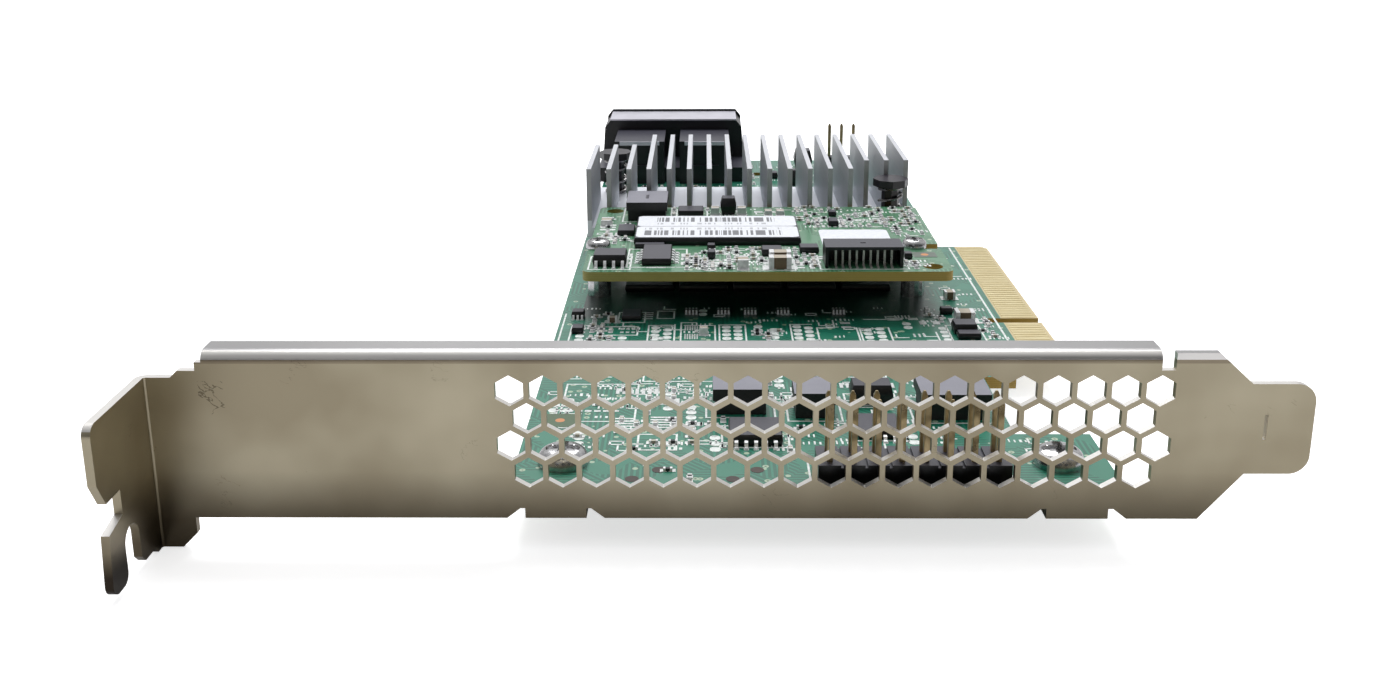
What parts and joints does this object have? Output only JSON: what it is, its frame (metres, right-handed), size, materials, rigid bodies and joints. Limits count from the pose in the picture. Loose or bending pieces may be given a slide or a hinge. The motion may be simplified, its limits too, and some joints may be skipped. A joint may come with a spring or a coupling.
{
  "type": "raid controller card",
  "caption": "Storage controller card with a vented slot bracket, finned heat sink, stacked cache module and a double rear cable receptacle",
  "frame": {"origin": "Where the outer face of the slot bracket, the line of the contact tongue's tip and the underside of the main board meet, so X and Z are zero on two faces of the board and Y is zero on the bracket's outer face.", "axes": "+Y runs from the bracket back along the board to the double receptacle, +X points the way the contact tongue goes into its slot, and +Z points away from the board on the component side."},
  "size_m": [0.1201, 0.1816, 0.0219],
  "materials": {
    "bracket_steel": "nickel-plated sheet steel, satin",
    "screw_steel": "bright plated",
    "board_laminate": "green solder mask over glass laminate",
    "contact_gold": "gold plated",
    "sink_aluminium": "plain extruded",
    "chip_plastic": "moulded epoxy",
    "pad_gray": "soft thermal pad",
    "black_nylon": "moulded nylon",
    "port_plastic": "black moulding",
    "shield_steel": "tin plated",
    "label_paper": "white label stock",
    "ceramic_tan": "sintered ceramic",
    "resistor_black": "glazed thick film",
    "ferrite_gray": "moulded ferrite",
    "lead_tin": "tinned"
  },
  "bodies": {
    "root": {"bracket": "bracket_steel", "bracket_screws": "screw_steel", "main_board": "board_laminate", "edge_contacts": "contact_gold", "heat_sink": "sink_aluminium", "controller_chip": "chip_plastic", "thermal_pad": "pad_gray", "push_pin_front": "black_nylon", "push_pin_rear": "black_nylon", "pin_spring_front": "screw_steel", "pin_spring_rear": "screw_steel", "port_housing": "port_plastic", "port_cores": "port_plastic", "port_shield": "shield_steel", "port_clips": "shield_steel", "module_board": "board_laminate", "module_screws": "screw_steel", "standoffs": "screw_steel", "stacking_socket": "port_plastic", "stacking_plug": "port_plastic", "power_receptacle": "port_plastic", "power_contacts": "contact_gold", "header_strip": "port_plastic", "header_pins": "contact_gold", "rear_header_strip": "port_plastic", "rear_header_pins": "contact_gold", "memory_chips": "chip_plastic", "flash_package": "chip_plastic", "label_front": "label_paper", "label_rear": "label_paper", "label_side": "label_paper", "memory_controller": "chip_plastic", "power_chip": "chip_plastic", "power_inductor": "ferrite_gray", "module_chips": "chip_plastic", "module_capacitors": "ceramic_tan", "resistor_networks": "resistor_black", "reset_chip": "chip_plastic", "board_chips": "chip_plastic", "line_drivers": "chip_plastic", "board_inductors": "ferrite_gray", "power_transistors": "chip_plastic", "board_capacitors": "ceramic_tan", "rear_chips": "chip_plastic"}
  },
  "joints": []
}
